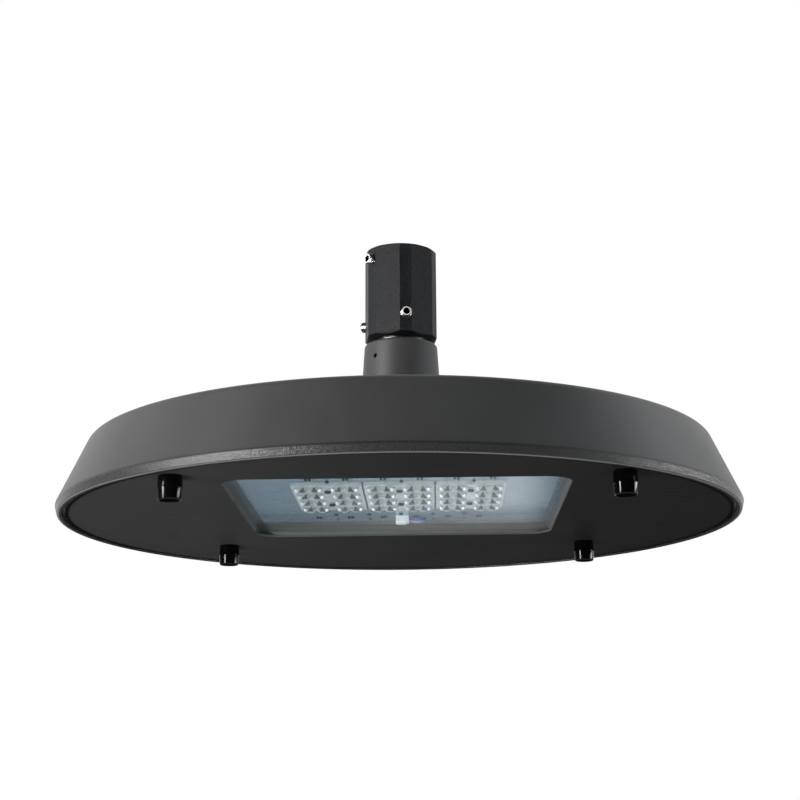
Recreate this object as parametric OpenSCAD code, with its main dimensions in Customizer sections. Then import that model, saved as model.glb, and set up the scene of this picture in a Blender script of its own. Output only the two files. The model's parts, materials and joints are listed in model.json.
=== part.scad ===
// Round garden lantern: a dished housing with a flush cover below and a tube socket above.
// Lengths are millimetres, angles are degrees, and +Z points up to the tube that carries the lantern.
// Heights in the sections below are counted from the flat foot of the housing's rim.

/* [Housing] */
// Diameter of the housing at its flat foot
body_d = 600; // [600:5:620]
// Height of the upright band above the foot
band_h = 7; // [5:0.5:9]
// How far the band swells out beyond the foot
band_swell = 1.3; // [0.5:0.1:2]
// Lean of the side wall from upright
wall_lean = 24.5; // [22:0.1:26]
// Height of the rounded shoulder
shoulder_h = 64.2; // [60:0.1:70]
// Radius of the rounded shoulder
shoulder_round = 8; // [6:0.5:10]
// Slope of the shallow roof
roof_slope = 9.5; // [9:0.5:11]
// Thickness of the cast wall
wall_t = 3.5; // [3:0.25:4.5]
// Width of the flat foot of the rim
foot_w = 4.5; // [4:0.5:5]

/* [Neck] */
// Height of the top of the neck
neck_top_h = 164.5; // [160:0.5:170]
// Diameter of the neck at its top
neck_top_d = 67; // [62:1:70]
// Lean of the neck's side from upright
neck_lean = 3.2; // [2:0.1:5]
// Radius of the hollow between the roof and the neck
neck_fillet = 14; // [10:1:18]
// Thickness of the closed head of the neck
neck_head_t = 12; // [10:1:14]
// Diameter of the small side hole in the neck
neck_hole_d = 4.5; // [3:0.5:5]

/* [Cover] */
// Gap between the cover's edge and the rim
groove_w = 2.7; // [2:0.1:3]
// Height of the cover's lower face above the foot
cover_rise = 1.2; // [0.5:0.1:2]
// Thickness of the cover sheet
cover_t = 2; // [1.5:0.5:3]
// Thickness of the seal between the cover and the housing
cover_seal_t = 2; // [1.5:0.5:3]
// Width of the seal between the cover and the housing
cover_seal_w = 5; // [4:0.5:5]

/* [Window] */
// Side of the square window
window_w = 275; // [266:1:276]
// Radius of the window's corners
window_round = 23; // [12:1:24]
// How far the window lies off the centre, towards the front
window_off = 63; // [62:1:68]
// Depth from the cover's lower face to the back of the recess
window_depth = 14.4; // [14:0.1:16]
// Thickness of the glass
glass_t = 3; // [2.5:0.5:3]
// Width of the bead that bonds the glass into the frame
glass_bead_w = 0.8; // [0.5:0.1:1.5]
// Thickness of the seal between the frame and the cover
frame_seal_t = 0.5; // [0.3:0.1:1]
// Thickness of the frame's wall
frame_wall = 5; // [4:1:6]
// Width of the frame's flange, counted from the window's edge
flange_w = 22.5; // [20:0.5:22.5]

/* [Knobs] */
// Distance between the knobs from side to side
knob_pitch_x = 344; // [340:1:344]
// Distance between the knobs from front to back
knob_pitch_y = 342; // [330:1:342]
// How far the middle of the knobs lies off the centre, towards the front
knob_off = 48; // [44:1:48]
// How far the middle of the knobs lies off the centre, to the right
knob_side_off = 2; // [0:0.5:2]
// Length of a knob
knob_h = 19; // [16:0.5:24]
// Diameter of a knob at its parting ridge
knob_d = 19.6; // [18:0.1:22]
// Diameter of the studs that hold the cover
stud_d = 6; // [5:1:6]

/* [Lamp panel] */
// Side of the square lamp board
board_w = 262; // [256:1:264]
// Thickness of the lamp board
board_t = 1.6; // [1:0.1:2]
// Distance between neighbouring lenses, both ways
lens_pitch = 30; // [28:0.5:30]
// Number of lens rows from front to back
lens_rows = 4; // [3:1:4]
// Thickness of a lens plate
lens_plate_t = 2; // [1.5:0.5:2]
// Height of a lens above its plate
lens_h = 4.8; // [4:0.1:4.8]
// Distance between the two humps of a lens
lens_hump_gap = 10; // [8:1:11]
// Radius of a lens hump
lens_hump_r = 7.5; // [7:0.5:8]
// Thickness of the heat sink's base
sink_base_t = 4; // [3:1:5]
// Height of the heat sink's fins
sink_fin_h = 18; // [10:1:20]
// Number of fins on the heat sink
sink_fins = 15; // [9:2:19]

/* [Socket sleeve] */
// Diameter of the sleeve across its corners
sleeve_d = 67.5; // [65:0.5:70]
// Height of the sleeve
sleeve_h = 87; // [84:0.5:92]
// Thickness of the washer between the neck and the sleeve
sleeve_washer_t = 2.5; // [1:0.5:3]
// Turn of the sleeve about the upright axis
sleeve_turn = 9.2; // [0:0.1:60]
// Angle that a narrow facet spans
facet_narrow = 18.5; // [17:0.5:22]
// Diameter of the bore that takes the carrying tube
bore_d = 50; // [49:0.1:51]
// Thickness of the sleeve's floor under the bore
sleeve_floor_t = 14; // [8:0.5:14]
// Diameter of the clamping screws
clamp_screw_d = 10; // [8:1:10]
// Length of the clamping screws
clamp_screw_len = 13.5; // [12:0.5:16]
// Distance of the upper screws below the sleeve's top
clamp_top_gap = 12; // [9:0.5:12.5]
// Distance between the two rows of clamping screws
clamp_row_gap = 55; // [45:0.5:56.5]
// Diameter of the threaded tube that joins the sleeve to the neck
nipple_d = 26; // [22:1:28]

/* [Control gear] */
// Width of the driver from side to side
driver_w = 150; // [120:1:160]
// Depth of the driver from front to back
driver_l = 62; // [50:1:66]
// Height of the driver
driver_h = 36; // [28:1:38]
// Width of the gear tray
tray_w = 230; // [220:1:240]
// Depth of the gear tray
tray_l = 112; // [108:1:114]

/* [Hidden] */
$fn = 96;

// Longer than any piece is thick, for holes that go right through
through = 60;

// The foot of the rim stands this high, on the knobs below it
rim_z = knob_h - cover_rise;
body_r = body_d / 2;
rim_in_r = body_r - foot_w;
cover_r = rim_in_r - groove_w;
band_r = body_r + band_swell;

// Heights of the stack behind the window
cover_top = cover_rise + cover_t;
seat_z = cover_top + cover_seal_t;
frame_low = cover_top + frame_seal_t;
glass_top = frame_low + glass_t;
recess_z = cover_rise + window_depth;
board_low = recess_z - board_t;
sink_top = recess_z + sink_base_t;
flange_t = 2;
flange_top = frame_low + flange_t;
flange_half = window_w / 2 + flange_w;
frame_stud_x = flange_half - 5;
frame_stud_r = 2;
frame_stud_side = window_w * 0.33;
flange_round = 10;
nut_h = 3.2;
frame_round = 3;
sink_half = window_w / 2 + frame_wall;
sink_screw_side = window_w * 0.4;
fin_span = board_w - 30;
fin_t = 2;
fin_l = 200;

// Points of the housing's outline, worked out from its slopes
shoulder_c = [
    band_r - (shoulder_h - shoulder_round - band_h) * tan(wall_lean) - shoulder_round / cos(wall_lean),
    shoulder_h - shoulder_round
];
roof_n = [sin(roof_slope), cos(roof_slope)];
neck_n = [cos(neck_lean), sin(neck_lean)];
neck_top_r = neck_top_d / 2;
roof_d = roof_n * shoulder_c + shoulder_round;
neck_line_d = neck_n * [neck_top_r, neck_top_h];
fillet_c = crossing(roof_n, roof_d + neck_fillet, neck_n, neck_line_d + neck_fillet);
neck_round = 3;
neck_round_c = [neck_top_r - neck_round, neck_top_h - neck_round];
ledge_w = 12;
ledge_t = 4;
neck_wall = 6;
neck_hole_turn = -41;
neck_hole_drop = 15.5;
head_low = neck_top_h - neck_head_t;
nipple_r = nipple_d / 2;
nipple_bore_r = nipple_r - 4;

// Places of the knobs, front and back on both sides
knob_places = [
    for (sx = [-1, 1])
        for (sy = [-1, 1])
            [knob_side_off + sx * knob_pitch_x / 2, sy * knob_pitch_y / 2 - knob_off]
];
stud_r = stud_d / 2;
pillar_r = 7;

// Lenses stand in three plates of two columns each
lens_columns = 2;
plate_pitch = lens_columns * lens_pitch;
lens_plate_w = plate_pitch - 1.2;
lens_plate_l = lens_rows * lens_pitch - 2;
lens_low = board_low - lens_plate_t;
hump_c_z = lens_low - lens_h + lens_hump_r;
lens_screw_y = lens_pitch;
chip_w = 3.5;
chip_t = 0.7;
chip_pocket = [chip_w + 1, chip_w + 1, 2 * chip_t + 0.6];
lens_screw_r = 1.45;
sink_screw_r = 1.25;

// The connector and the wires that leave it
connector = [12, 14, 6.4];
connector_y = 46;
wire_r = 0.9;
wire_drop = 3.4;
wire_gap = 6;
wire_bend = 1.2;
wire_z = board_low - wire_drop;
wire_hole = [19, 56];
wire_hole_r = 3.6;
wire_top = sink_top + 16;

// The gear tray and what stands on it, in the back half
tray_y = 158;
tray_t = 1.5;
tray_edge_h = 12;
tray_low = cover_top + 4;
tray_top = tray_low + tray_t;
tray_screw_x = tray_w / 2 - 8;
tray_screw_y = tray_l / 2 - 8;
tray_screw_r = 2;
spacer_r = 3.6;
driver_x = -22;
driver_y = tray_y - 16;
driver_foot_t = 3;
driver_screw_r = 1.5;
driver_screw_side = driver_w / 2 + 6;
driver_foot_w = driver_w + 24;
surge = [30, 44, 26];
block = [60, 22, 16];
block_ways = 5;
block_pitch = 11;
block_hole_r = 2.6;
block_wire_r = 2.2;

// The threaded tube below the neck's head and the gland on its end
nipple_drop = 30;
gland_hex_h = 12;
gland_cap_h = 12;
gland_bore_r = 6;

sleeve_r = sleeve_d / 2;
sleeve_low = neck_top_h + sleeve_washer_t;
sleeve_top = sleeve_low + sleeve_h;
sleeve_washer_r = nipple_r + 12.5;
foot_chamfer = [4.5, 3.5];
head_chamfer = [1.8, 1.6];
bore_r = bore_d / 2;
clamp_r = clamp_screw_d / 2;
clamp_tip = bore_r + 0.4;
upper_z = sleeve_top - clamp_top_gap;
lower_z = upper_z - clamp_row_gap;
upper_first = -60;
upper_count = 2;
lower_count = 3;

// The point where two lines meet, each given by its normal and its distance from the axis point
function crossing(n1, d1, n2, d2) =
    [d1 * n2[1] - d2 * n1[1], d2 * n1[0] - d1 * n2[0]] / (n1[0] * n2[1] - n2[0] * n1[1]);

// Points along an arc from angle a to angle b
function arc(c, r, a, b, steps = 8) =
    [for (i = [0 : steps]) c + r * [cos(a + (b - a) * i / steps), sin(a + (b - a) * i / steps)]];

// Radius of the wall's inner face at a height
function inner_r(z) = band_r - (z - band_h) * tan(wall_lean) - wall_t / cos(wall_lean);

// Radius of the neck's side at a height
function neck_r(z) = neck_top_r + (neck_top_h - z) * tan(neck_lean);

module at_rim() {
    translate([0, 0, rim_z]) children();
}

module at_window() {
    at_rim() translate([0, -window_off, 0]) children();
}

// A flat square with round corners
module round_square(half, r) {
    square([2 * half, 2 * (half - r)], center = true);
    square([2 * (half - r), 2 * half], center = true);
    for (sx = [-1, 1], sy = [-1, 1]) {
        translate([sx * (half - r), sy * (half - r)]) circle(r);
    }
}

// A slab between two heights
module slab(low, high) {
    translate([0, 0, low]) linear_extrude(high - low) children();
}

// A pan-head screw that points down from its seat
module screw_down(seat, len, r, head_r, head_h) {
    difference() {
        union() {
            translate([0, 0, seat - len]) cylinder(h = len, r = r);
            translate([0, 0, seat]) cylinder(h = head_h, r = head_r);
        }
        translate([0, 0, seat + head_h * 0.4]) cylinder(h = head_h, r = head_r * 0.45, $fn = 6);
    }
}

module housing_outline() {
    polygon(concat(
        [[rim_in_r, 0], [body_r - 1.5, 0]],
        arc([body_r - 1.5, 1.5], 1.5, -60, 0, 3),
        [[band_r, band_h - 1], [band_r, band_h]],
        arc(shoulder_c, shoulder_round, wall_lean, 90 - roof_slope),
        arc(fillet_c, neck_fillet, 270 - roof_slope, 180 + neck_lean),
        arc(neck_round_c, neck_round, neck_lean, 90, 6),
        [
            [nipple_r, neck_top_h],
            [nipple_r, head_low],
            [neck_r(head_low) - neck_wall, head_low]
        ],
        arc(fillet_c, neck_fillet + neck_wall, 180 + neck_lean, 268 - roof_slope),
        arc(shoulder_c, shoulder_round - wall_t, 90 - roof_slope, wall_lean),
        [
            [inner_r(24), 24],
            [rim_in_r - ledge_w, seat_z + ledge_t],
            [rim_in_r - ledge_w, seat_z],
            [rim_in_r, seat_z]
        ]
    ));
}

// A pillar that reaches from the cover's seal up into the roof, or into the side wall near the rim
module pillar(x, y) {
    from_axis = sqrt(x * x + y * y);
    roof_above = (roof_d - wall_t / 2 - from_axis * roof_n[0]) / roof_n[1];
    side_above = band_h + (band_r - wall_t * 0.6 - from_axis - pillar_r) / tan(wall_lean);
    translate([x, y, seat_z]) cylinder(h = min(roof_above, side_above) - seat_z, r = pillar_r);
}

module housing() {
    color([0.43, 0.44, 0.45]) at_rim() difference() {
        union() {
            rotate_extrude() housing_outline();
            for (p = knob_places) pillar(p[0], p[1]);
        }
        for (p = knob_places) {
            translate([p[0], p[1], seat_z - 1]) cylinder(h = 22, r = stud_r);
        }
        rotate([0, 0, neck_hole_turn]) translate([0, -neck_top_r + 2, neck_top_h - neck_hole_drop])
            rotate([90, 0, 0]) cylinder(h = 12, r = neck_hole_d / 2);
    }
}

module cover_plate() {
    color([0.1, 0.1, 0.1]) at_rim() difference() {
        slab(cover_rise, cover_top) circle(cover_r, $fn = 180);
        translate([0, -window_off, 0]) slab(0, cover_top + 1) round_square(window_w / 2, window_round);
        for (p = knob_places) {
            translate([p[0], p[1], 0]) cylinder(h = 10, r = stud_r + 0.3);
        }
    }
}

module cover_seal() {
    color([0.05, 0.05, 0.05]) at_rim() slab(cover_top, seat_z) difference() {
        circle(cover_r - 0.5);
        circle(cover_r - 0.5 - cover_seal_w);
    }
}

// Short round spacers pressed into the cover, for the gear tray
module tray_spacers() {
    color([0.7, 0.7, 0.72]) at_tray_screws() ring(spacer_r, tray_screw_r, cover_top, tray_low);
}

module ring(outer, inner, low, high) {
    slab(low, high) difference() {
        circle(outer);
        circle(inner);
    }
}

// Two fastening points on each side of the frame, in the window's own place
module at_frame_studs() {
    for (side = [0, 90, 180, 270], t = [-1, 1]) {
        rotate([0, 0, side]) translate([t * frame_stud_side, frame_stud_x, 0]) children();
    }
}

module at_tray_screws() {
    at_rim() translate([0, tray_y, 0]) for (sx = [-1, 1], sy = [-1, 1]) {
        translate([sx * tray_screw_x, sy * tray_screw_y, 0]) children();
    }
}

// A moulded knob that is widest at its parting ridge and has a blind threaded hole
module cover_knobs() {
    r = knob_d / 2;
    color([0.04, 0.04, 0.04]) at_rim() for (p = knob_places) {
        translate([p[0], p[1], cover_rise - knob_h]) difference() {
            rotate_extrude() polygon([
                [0, 0], [r - 1.4, 0], [r - 0.6, 0.8], [r, knob_h * 0.48],
                [r, knob_h * 0.52], [r - 0.7, knob_h], [0, knob_h]
            ]);
            translate([0, 0, knob_h - 13]) cylinder(h = 14, r = stud_r);
        }
    }
}

module cover_studs() {
    color([0.75, 0.75, 0.77]) at_rim() for (p = knob_places) {
        translate([p[0], p[1], cover_rise - 12]) cylinder(h = 32, r = stud_r);
    }
}

module stud_seals() {
    color([0.05, 0.05, 0.05]) at_rim() for (p = knob_places) {
        translate([p[0], p[1], 0]) ring(pillar_r - 0.5, stud_r + 0.2, cover_top, seat_z);
    }
}

module window_glass() {
    color([0.75, 0.85, 0.9, 0.35]) at_window() slab(frame_low, glass_top)
        round_square(window_w / 2 - glass_bead_w, frame_round - glass_bead_w);
}

module glass_bead() {
    color([0.3, 0.3, 0.3]) at_window() slab(frame_low, glass_top) difference() {
        round_square(window_w / 2, frame_round);
        round_square(window_w / 2 - glass_bead_w, frame_round - glass_bead_w);
    }
}

module frame_seal() {
    color([0.2, 0.2, 0.2]) at_window() slab(cover_top, frame_low) difference() {
        round_square(flange_half - 1, flange_round);
        round_square(window_w / 2, frame_round);
        at_frame_studs() circle(frame_stud_r + 0.2);
    }
}

// A square wall on a flange: it holds the glass and carries the heat sink
module window_frame() {
    color([0.24, 0.24, 0.25]) at_window() difference() {
        union() {
            slab(frame_low, flange_top) round_square(flange_half, flange_round);
            slab(frame_low, recess_z) square(2 * sink_half, center = true);
        }
        slab(frame_low - 1, recess_z + 1) round_square(window_w / 2, frame_round);
        at_frame_studs() cylinder(h = through, r = frame_stud_r + 0.2);
        for (side = [0, 90, 180, 270], t = [-1, 1]) {
            at_sink_screw(side, t) translate([0, 0, flange_top]) cylinder(h = through, r = sink_screw_r);
        }
    }
}

// Studs welded to the inner face of the cover
module frame_studs() {
    color([0.75, 0.75, 0.77]) at_window() at_frame_studs()
        slab(cover_top, flange_top + 5) circle(frame_stud_r);
}

module frame_nuts() {
    color([0.75, 0.75, 0.77]) at_window() at_frame_studs() slab(flange_top, flange_top + nut_h) difference() {
        circle(2 * frame_stud_r, $fn = 6);
        circle(frame_stud_r);
    }
}

// The panel behind the lamp board, with fins above it
module heat_sink() {
    color([0.7, 0.72, 0.74]) at_window() difference() {
        union() {
            slab(recess_z, sink_top) square(2 * sink_half, center = true);
            for (i = [0 : sink_fins - 1]) {
                translate([(i / (sink_fins - 1) - 0.5) * fin_span, 0, 0])
                    slab(sink_top - 0.01, sink_top + sink_fin_h) square([fin_t, fin_l], center = true);
            }
        }
        for (side = [0, 90, 180, 270], t = [-1, 1]) {
            at_sink_screw(side, t) cylinder(h = through, r = sink_screw_r + 0.15);
        }
        at_lens_screws() cylinder(h = through, r = lens_screw_r + 0.05);
        translate([wire_hole[0], wire_hole[1] + window_off, 0]) cylinder(h = through, r = wire_hole_r);
    }
}

module sink_screws() {
    color([0.75, 0.75, 0.77]) at_window() for (side = [0, 90, 180, 270], t = [-1, 1]) {
        at_sink_screw(side, t) screw_down(sink_top, sink_base_t + 5, sink_screw_r, 2.5, 1.8);
    }
}

// A fastening point on the frame's wall
module at_sink_screw(side, t) {
    rotate([0, 0, side]) translate([t * sink_screw_side, sink_half - frame_wall / 2, 0]) children();
}

// Two fastening points down the middle of each lens plate, in the window's own place
module at_lens_screws() {
    for (p = [-1 : 1], t = [-1, 1]) {
        translate([p * plate_pitch, t * lens_screw_y, 0]) children();
    }
}

module led_board() {
    color([0.86, 0.9, 0.93]) at_window() difference() {
        slab(board_low, recess_z) square(board_w, center = true);
        at_lens_screws() cylinder(h = through, r = lens_screw_r + 0.05);
        translate([wire_hole[0], wire_hole[1] + window_off, 0]) cylinder(h = through, r = wire_hole_r);
    }
}

// Places of the lenses in one plate, from the plate's middle
module at_lenses() {
    for (c = [-0.5, 0.5], r = [0 : lens_rows - 1]) {
        translate([c * lens_pitch, (r - (lens_rows - 1) / 2) * lens_pitch, 0]) children();
    }
}

module led_chips() {
    color([0.95, 0.85, 0.3]) at_window() for (p = [-1 : 1]) {
        translate([p * plate_pitch, 0, board_low - chip_t / 2]) at_lenses()
            cube([chip_w, chip_w, chip_t], center = true);
    }
}

// A clear plate of two columns of lenses, each lens with two humps, and a pocket over each chip
module lens_plate(place) {
    color([0.85, 0.93, 0.97, 0.5]) at_window() translate([place * plate_pitch, 0, 0]) difference() {
        union() {
            slab(lens_low, board_low) union() {
                square([lens_plate_w, lens_plate_l - 6], center = true);
                for (c = [-0.5, 0.5]) {
                    translate([c * lens_pitch, 0]) square([lens_pitch - 6, lens_plate_l], center = true);
                }
            }
            intersection() {
                at_lenses() for (s = [-0.5, 0.5]) {
                    translate([s * lens_hump_gap, 0, hump_c_z]) sphere(lens_hump_r);
                }
                translate([0, 0, lens_low - lens_h]) linear_extrude(lens_h + 0.5)
                    square([lens_plate_w, lens_plate_l], center = true);
            }
        }
        at_lenses() translate([0, 0, board_low]) cube(chip_pocket, center = true);
        for (t = [-1, 1]) translate([0, t * lens_screw_y, 0]) cylinder(h = through, r = lens_screw_r + 0.15);
    }
}

module lens_plate_left() {
    lens_plate(-1);
}

module lens_plate_middle() {
    lens_plate(0);
}

module lens_plate_right() {
    lens_plate(1);
}

module lens_screws() {
    color([0.5, 0.5, 0.52]) at_window() at_lens_screws() {
        translate([0, 0, lens_low]) cylinder(h = sink_top - lens_low - 0.5, r = lens_screw_r);
        difference() {
            translate([0, 0, lens_low - 1.8]) cylinder(h = 1.8, r = 2.7);
            translate([0, 0, lens_low - 2]) cylinder(h = 1.2, r = 1.3, $fn = 6);
        }
    }
}

module board_connector() {
    color([0.9, 0.9, 0.88]) at_rim() translate([-0.5, connector_y, board_low]) difference() {
        translate([0, 0, -connector[2] / 2]) cube(connector, center = true);
        for (t = [-1, 1]) {
            translate([connector[0] / 2, t * wire_gap / 2, -wire_drop]) rotate([0, 90, 0])
                cylinder(h = 5, r = wire_r, center = true);
        }
    }
}

// A wire from the connector's side to the hole in the panel, then up behind it
module wire(off, bend) {
    start = [connector[0] / 2 - 2.9, connector_y + off, wire_z];
    turn = [wire_hole[0] + bend, connector_y + off, wire_z];
    under = [wire_hole[0] + bend, wire_hole[1], wire_z];
    run = wire_hole[1] - connector_y - off;
    at_rim() {
        translate(start) rotate([0, 90, 0]) cylinder(h = turn[0] - start[0], r = wire_r);
        translate(turn) sphere(wire_r);
        translate(turn) rotate([-90, 0, 0]) cylinder(h = run, r = wire_r);
        translate(under) sphere(wire_r);
        translate(under) cylinder(h = wire_top - wire_z, r = wire_r);
    }
}

module wire_blue() {
    color([0.1, 0.35, 0.75]) wire(-wire_gap / 2, wire_bend);
}

module wire_red() {
    color([0.75, 0.25, 0.12]) wire(wire_gap / 2, -wire_bend);
}

module gear_tray() {
    color([0.75, 0.76, 0.78]) at_rim() translate([0, tray_y, 0]) difference() {
        union() {
            slab(tray_low, tray_top) square([tray_w, tray_l], center = true);
            for (s = [-1, 1]) {
                translate([s * (tray_w - tray_t) / 2, 0, tray_low + tray_edge_h / 2])
                    cube([tray_t, tray_l - 30, tray_edge_h], center = true);
            }
        }
        for (sx = [-1, 1], sy = [-1, 1]) {
            translate([sx * tray_screw_x, sy * tray_screw_y, 0])
                cylinder(h = through, r = tray_screw_r + 0.2);
        }
        translate([0, -tray_y, 0]) at_driver_screws() cylinder(h = through, r = driver_screw_r + 0.1);
    }
}

module tray_screws() {
    color([0.75, 0.75, 0.77]) at_tray_screws()
        screw_down(tray_top, tray_top - cover_top, tray_screw_r, spacer_r, 2.4);
}

module led_driver() {
    color([0.8, 0.81, 0.83]) at_rim() difference() {
        translate([driver_x, driver_y, 0]) {
            slab(tray_top, tray_top + driver_h) square([driver_w, driver_l], center = true);
            slab(tray_top, tray_top + driver_foot_t)
                square([driver_foot_w, driver_l - 10], center = true);
        }
        at_driver_screws() cylinder(h = through, r = driver_screw_r + 0.1);
    }
}

// Four fastening points on the feet of the driver
module at_driver_screws() {
    for (sx = [-1, 1], sy = [-1, 1]) {
        translate([driver_x + sx * driver_screw_side, driver_y + sy * 20, 0]) children();
    }
}

module driver_screws() {
    color([0.75, 0.75, 0.77]) at_rim() at_driver_screws()
        screw_down(tray_top + driver_foot_t, driver_foot_t + tray_t, driver_screw_r, 2.8, 2);
}

module surge_protector() {
    color([0.2, 0.22, 0.25]) at_rim() translate([tray_w / 2 - 27, tray_y - 8, 0])
        slab(tray_top, tray_top + surge[2]) square([surge[0], surge[1]], center = true);
}

module terminal_block() {
    color([0.92, 0.92, 0.9]) at_rim() translate([-20, tray_y + 36, 0]) difference() {
        slab(tray_top, tray_top + block[2]) square([block[0], block[1]], center = true);
        for (i = [0 : block_ways - 1]) {
            translate([(i - (block_ways - 1) / 2) * block_pitch, 0, tray_top]) {
                translate([0, 0, 6]) cylinder(h = block[2], r = block_hole_r);
                translate([0, 0, 5]) rotate([90, 0, 0])
                    cylinder(h = through, r = block_wire_r, center = true);
            }
        }
    }
}

module earth_screw() {
    color([0.8, 0.65, 0.3]) at_rim() translate([40, tray_y + 36, 0]) {
        slab(tray_top, tray_top + 1) circle(6);
        translate([0, 0, tray_top + 1]) cylinder(h = 3, r = 4.6, $fn = 6);
    }
}

// The gland on the lower end of the threaded tube: a hexagon, a round cap and a through hole
module cable_gland() {
    hex_low = head_low - nipple_drop - 4;
    color([0.1, 0.1, 0.1]) at_rim() difference() {
        union() {
            translate([0, 0, hex_low]) cylinder(h = gland_hex_h, r = nipple_r + 5, $fn = 6);
            translate([0, 0, hex_low - gland_cap_h])
                cylinder(h = gland_cap_h, r1 = nipple_r - 1, r2 = nipple_r + 2);
        }
        translate([0, 0, head_low - nipple_drop]) cylinder(h = through, r = nipple_r);
        translate([0, 0, hex_low - gland_cap_h - 1]) cylinder(h = through, r = gland_bore_r);
    }
}

module threaded_nipple() {
    color([0.72, 0.72, 0.74]) at_rim()
        ring(nipple_r, nipple_bore_r, head_low - nipple_drop, sleeve_low + sleeve_floor_t);
}

module neck_washer() {
    color([0.75, 0.75, 0.77]) at_rim() ring(nipple_r + 8, nipple_r, head_low - 2, head_low);
}

module neck_nut() {
    color([0.75, 0.75, 0.77]) at_rim() slab(head_low - 10, head_low - 2) difference() {
        circle(nipple_r + 7.5, $fn = 6);
        circle(nipple_r);
    }
}

module sleeve_washer() {
    color([0.75, 0.75, 0.77]) at_rim() ring(sleeve_washer_r, nipple_r, neck_top_h, sleeve_low);
}

// A twelve-sided sleeve with narrow and wide facets, turned down at both ends
module pole_sleeve() {
    corners = [
        for (i = [0 : 5])
            for (s = [-1, 1])
                let (a = 60 * i + s * facet_narrow / 2 - 90)
                    sleeve_r * [cos(a), sin(a)]
    ];
    color([0.16, 0.17, 0.18]) at_rim() rotate([0, 0, sleeve_turn]) difference() {
        intersection() {
            slab(sleeve_low, sleeve_top) polygon(corners);
            rotate_extrude() polygon([
                [0, sleeve_low], [sleeve_r - foot_chamfer[0], sleeve_low],
                [sleeve_r + 0.1, sleeve_low + foot_chamfer[1]],
                [sleeve_r + 0.1, sleeve_top - head_chamfer[1]],
                [sleeve_r - head_chamfer[0], sleeve_top], [0, sleeve_top]
            ]);
        }
        translate([0, 0, sleeve_low + sleeve_floor_t]) cylinder(h = sleeve_h, r = bore_r);
        translate([0, 0, sleeve_low - 1]) cylinder(h = sleeve_h, r = nipple_r);
        at_clamps(upper_first, upper_count) translate([0, -bore_r + 3, upper_z]) clamp_hole();
        at_clamps(0, lower_count) translate([0, -bore_r + 3, lower_z]) clamp_hole();
    }
}

module clamp_hole() {
    rotate([90, 0, 0]) cylinder(h = 20, r = clamp_r);
}

// Evenly spread turns about the sleeve's axis
module at_clamps(first, count) {
    for (i = [0 : count - 1]) {
        rotate([0, 0, first + 360 / count * i]) children();
    }
}

// A headless screw with a hexagon socket in its outer end and a turned-down tip
module clamp_screw() {
    rotate([90, 0, 0]) difference() {
        rotate_extrude() polygon([
            [0, 0], [clamp_r - 1.2, 0], [clamp_r, 1.2], [clamp_r, clamp_screw_len - 0.7],
            [clamp_r - 0.7, clamp_screw_len], [0, clamp_screw_len]
        ]);
        translate([0, 0, clamp_screw_len - 4]) cylinder(h = 5, r = clamp_r * 0.58, $fn = 6);
    }
}

module clamp_screws_upper() {
    color([0.75, 0.75, 0.77]) at_rim() at_clamps(sleeve_turn + upper_first, upper_count)
        translate([0, -clamp_tip, upper_z]) clamp_screw();
}

module clamp_screws_lower() {
    color([0.75, 0.75, 0.77]) at_rim() at_clamps(sleeve_turn, lower_count)
        translate([0, -clamp_tip, lower_z]) clamp_screw();
}

housing();
cover_plate();
cover_seal();
cover_knobs();
cover_studs();
stud_seals();
window_glass();
glass_bead();
frame_seal();
window_frame();
frame_studs();
frame_nuts();
heat_sink();
sink_screws();
led_board();
led_chips();
lens_plate_left();
lens_plate_middle();
lens_plate_right();
lens_screws();
board_connector();
wire_blue();
wire_red();
gear_tray();
tray_spacers();
tray_screws();
led_driver();
driver_screws();
surge_protector();
terminal_block();
earth_screw();
cable_gland();
threaded_nipple();
neck_washer();
neck_nut();
sleeve_washer();
pole_sleeve();
clamp_screws_upper();
clamp_screws_lower();
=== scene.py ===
"""A round garden lantern seen from a little below, on a white background.

Everything is in metres, in the frame of the CAD model. Detailed pieces are worked out in millimetres.
"""
import itertools
import json
import math

import bpy
from mathutils import Matrix, Vector


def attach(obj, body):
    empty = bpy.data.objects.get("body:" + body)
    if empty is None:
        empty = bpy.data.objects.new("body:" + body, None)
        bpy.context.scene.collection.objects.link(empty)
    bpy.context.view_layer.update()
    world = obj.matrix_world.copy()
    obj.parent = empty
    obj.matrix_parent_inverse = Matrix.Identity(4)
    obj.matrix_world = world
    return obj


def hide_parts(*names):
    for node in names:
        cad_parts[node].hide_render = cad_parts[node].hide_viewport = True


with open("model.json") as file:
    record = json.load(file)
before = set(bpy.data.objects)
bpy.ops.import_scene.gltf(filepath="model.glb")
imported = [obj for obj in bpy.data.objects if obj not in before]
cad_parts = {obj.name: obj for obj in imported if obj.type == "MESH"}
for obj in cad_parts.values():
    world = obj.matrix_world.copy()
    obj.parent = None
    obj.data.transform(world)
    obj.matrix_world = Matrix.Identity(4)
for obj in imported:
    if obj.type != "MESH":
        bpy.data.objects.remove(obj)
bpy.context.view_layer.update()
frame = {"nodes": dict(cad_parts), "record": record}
NODES = frame["nodes"]
MM = 0.001
# Height of the housing's foot above the lower ends of the knobs, and heights counted from that foot
RIM_MM, RIM = 17.8, 0.0178
SLEEVE_LOW, SLEEVE_TOP = RIM + 0.167, RIM + 0.254
UPPER_SCREWS_MM, LOWER_SCREWS_MM = RIM_MM + 242.0, RIM_MM + 187.0
NECK_LOW, NECK_HIGH = RIM + 0.095, RIM + 0.105  # the neck's coat begins between these heights
WHITE = (1.0, 1.0, 1.0)


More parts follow.
